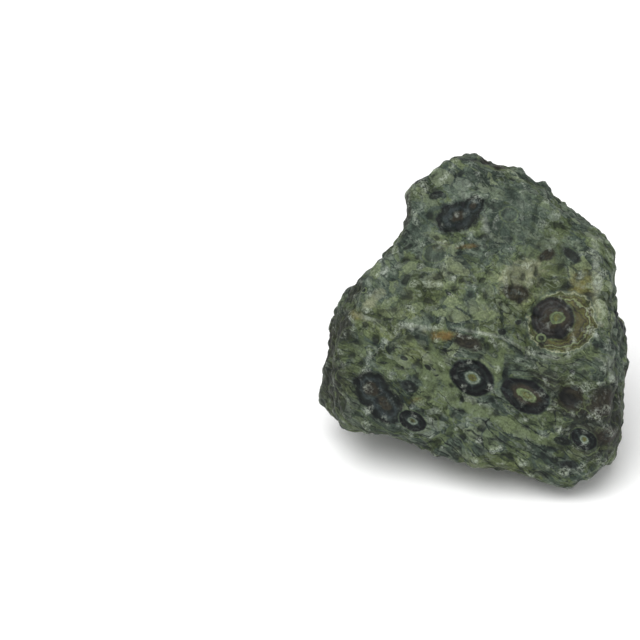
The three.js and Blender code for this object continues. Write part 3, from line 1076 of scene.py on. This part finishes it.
    def apply(self, piece: bpy.types.Object, finish: bpy.types.Material) -> None:
        """Works the relief into a mesh, so that no modifier is left.

        Args:
            piece: The stone's object.
            finish: Its material.
        """
        tree = self.tree()
        modifier = piece.modifiers.new("broken_surface", "NODES")
        modifier.node_group = tree
        values = {**self.inputs(), "Finish": finish}
        for item in tree.interface.items_tree:
            if item.in_out == "INPUT" and item.name in values:
                modifier[item.identifier] = values[item.name]
        evaluated = piece.evaluated_get(bpy.context.evaluated_depsgraph_get())
        plain = bpy.data.meshes.new_from_object(evaluated)
        piece.modifiers.remove(modifier)
        piece.data = plain


@dataclass
class Stone:
    """The lump itself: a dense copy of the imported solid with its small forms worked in."""

    name: str = "kambaba_lump"
    node: str = "stone"
    body: str = "root"
    material_slot: str = "kambaba_jasper"
    splits: int = 2  # each turns one triangle into four
    merge_gap: float = 0.005  # points closer than this are one, in mm
    sink: float = 0.1  # how deep a mark's centre lies under the surface, in shares of its half width
    front_reach: float = 2.2  # a front mark's half depth, in shares of the larger half size
    side_reach: float = 0.9  # the same for marks on the other sides
    relief: Relief = field(default_factory=Relief)
    finish: KambabaFinish = field(default_factory=KambabaFinish)

    def build(self, camera: Camera) -> None:
        """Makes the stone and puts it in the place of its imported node.

        Args:
            camera: Gives the point that sides are looked at from.
        """
        solid = bmesh.new()
        solid.from_mesh(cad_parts[self.node].data)
        bmesh.ops.remove_doubles(solid, verts=solid.verts, dist=self.merge_gap * MM)
        marks = self._place_marks(BVHTree.FromBMesh(solid), camera)
        for _ in range(self.splits):
            bmesh.ops.subdivide_edges(solid, edges=solid.edges, cuts=1, use_grid_fill=True)
        bmesh.ops.triangulate(solid, faces=solid.faces)
        mesh = bpy.data.meshes.new(self.name)
        solid.to_mesh(mesh)
        solid.free()
        piece = show(self.name, mesh)
        self.relief.apply(piece, self.finish.build())
        self._store_marks(piece.data, marks)
        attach(piece, self.body)
        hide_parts(self.node)
        LOG.info("%s: %d triangles, %d marks", piece.name, len(piece.data.polygons), len(marks))

    def _place_marks(self, surface: BVHTree, camera: Camera) -> list[PlacedSpot]:
        """Sets each orb and stain where its side shows it, on the stone's surface.

        Args:
            surface: The solid's surface, in metres.
            camera: Gives the point that sides are looked at from.

        Returns:
            The marks that met the stone.
        """
        placed = []
        spots = (
            Spot(mark, side, row[:2], row[2:4], row[4])
            for side, kinds in MARKS.items() for mark, rows in kinds.items() for row in rows
        )
        for spot in spots:
            side = spot.side.value
            eye = camera.eye(spot.side)
            aim = Vector(camera.core) + side.across * spot.at[0] + side.upward * spot.at[1]
            ray = (aim - eye).normalized()
            met = surface.ray_cast(eye * MM, ray)[0]
            if met is None:
                LOG.warning("the mark %s at %s misses the stone", spot.mark.name, spot.at)
                continue
            turn = math.radians(spot.turn)
            long_way = side.across * math.cos(turn) + side.upward * math.sin(turn)
            axes = Matrix((long_way, side.outward.cross(long_way), side.outward)).transposed()
            depth = max(spot.size) * (self.front_reach if spot.side is Side.FRONT else self.side_reach)
            centre = met / MM + ray * (self.sink * min(spot.size))
            placed.append(PlacedSpot(spot.mark, centre, axes, (*spot.size, depth)))
        return placed

    @staticmethod
    def _store_marks(mesh: bpy.types.Mesh, marks: list[PlacedSpot]) -> None:
        """Keeps on each point how near the nearest mark of each kind is.

        Args:
            mesh: The finished mesh.
            marks: The orbs and stains, placed on the stone.
        """
        flat = np.empty(len(mesh.vertices) * 3, np.float32)
        mesh.vertices.foreach_get("co", flat)
        points = flat.reshape(-1, 3) / MM
        for mark in Mark:
            nearest = np.min([spot.away(points) for spot in marks if spot.mark is mark], axis=0)
            kept = mesh.attributes.new(mark.name, "FLOAT", "POINT")
            kept.data.foreach_set("value", np.minimum(nearest, FAR).astype(np.float32))


@dataclass(frozen=True)
class Lamp:
    """A soft round light that looks at the stone."""

    name: str
    facing: Facing
    distance: float  # m
    width: float  # m
    power: float  # W

    def build(self, target: Vector) -> None:
        """Makes the light.

        Args:
            target: Where it looks, in metres.
        """
        made = bpy.data.lights.new(self.name, "AREA")
        made.shape = "DISK"
        made.size = self.width
        made.energy = self.power
        placed = show(self.name, made)
        placed.location = target + self.facing.outward * self.distance
        placed.rotation_euler = self.facing.outward.to_track_quat("Z", "Y").to_euler()


@dataclass
class Studio:
    """A white floor, two soft lamps and a pale sky that is brightest at its foot."""

    floor_radius: float = 1.3  # m
    floor_corners: int = 96
    sky: float = 0.42
    sky_foot: float = 0.62  # more light where the sky meets the floor
    foot_height: Pair = (0.5, 0.2)  # over which that fades in, as a sine
    lamps: tuple[Lamp, ...] = (
        Lamp("overhead_light", Facing(-20, 58), 2.4, 1.9, 54),
        Lamp("front_light", Facing(14, 30), 2.4, 1.5, 9),
    )

    def build(self, target: Vector) -> None:
        """Makes floor, lights and sky.

        Args:
            target: Where the lights look, in metres.
        """
        self._lay_floor()
        for lamp in self.lamps:
            lamp.build(target)
        self._hang_sky()
        bpy.context.scene.view_settings.view_transform = "Standard"
        LOG.info("studio: %d lights", len(self.lamps))

    def _lay_floor(self) -> None:
        """Makes the round floor."""
        turns = [math.tau * i / self.floor_corners for i in range(self.floor_corners)]
        rim = [(math.cos(turn) * self.floor_radius, math.sin(turn) * self.floor_radius, 0) for turn in turns]
        mesh = bpy.data.meshes.new("floor")
        mesh.from_pydata(rim, [], [tuple(range(self.floor_corners))])
        floor = show("floor", mesh)
        material = bpy.data.materials.new("white_floor")
        material.use_nodes = True
        graph = Graph(material.node_tree)
        shader = graph.flow("ShaderNodeBsdfDiffuse", {}, {"Color": (1, 1, 1, 1)})
        graph.node("ShaderNodeOutputMaterial", {}, {"Surface": shader})
        mesh.materials.append(material)

    def _hang_sky(self) -> None:
        """Makes the light that comes from all round."""
        world = bpy.data.worlds.new("sky")
        world.use_nodes = True
        graph = Graph(world.node_tree)
        height = graph.dot(graph.flow("ShaderNodeTexCoord", {}, {}, "Generated"), (0, 0, 1))
        strength = height.rise(*self.foot_height) * self.sky_foot + self.sky
        glow = graph.flow("ShaderNodeBackground", {}, {"Color": (1, 1, 1, 1), "Strength": strength})
        graph.node("ShaderNodeOutputWorld", {}, {"Surface": glow})
        bpy.context.scene.world = world


def main() -> None:
    """Builds the camera, the stone and the studio."""
    logging.basicConfig(level=logging.INFO, format="%(message)s")
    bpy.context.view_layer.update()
    camera = Camera()
    camera.build()
    Stone().build(camera)
    Studio().build(Vector(camera.core) * MM)


if __name__ == "__main__":
    main()
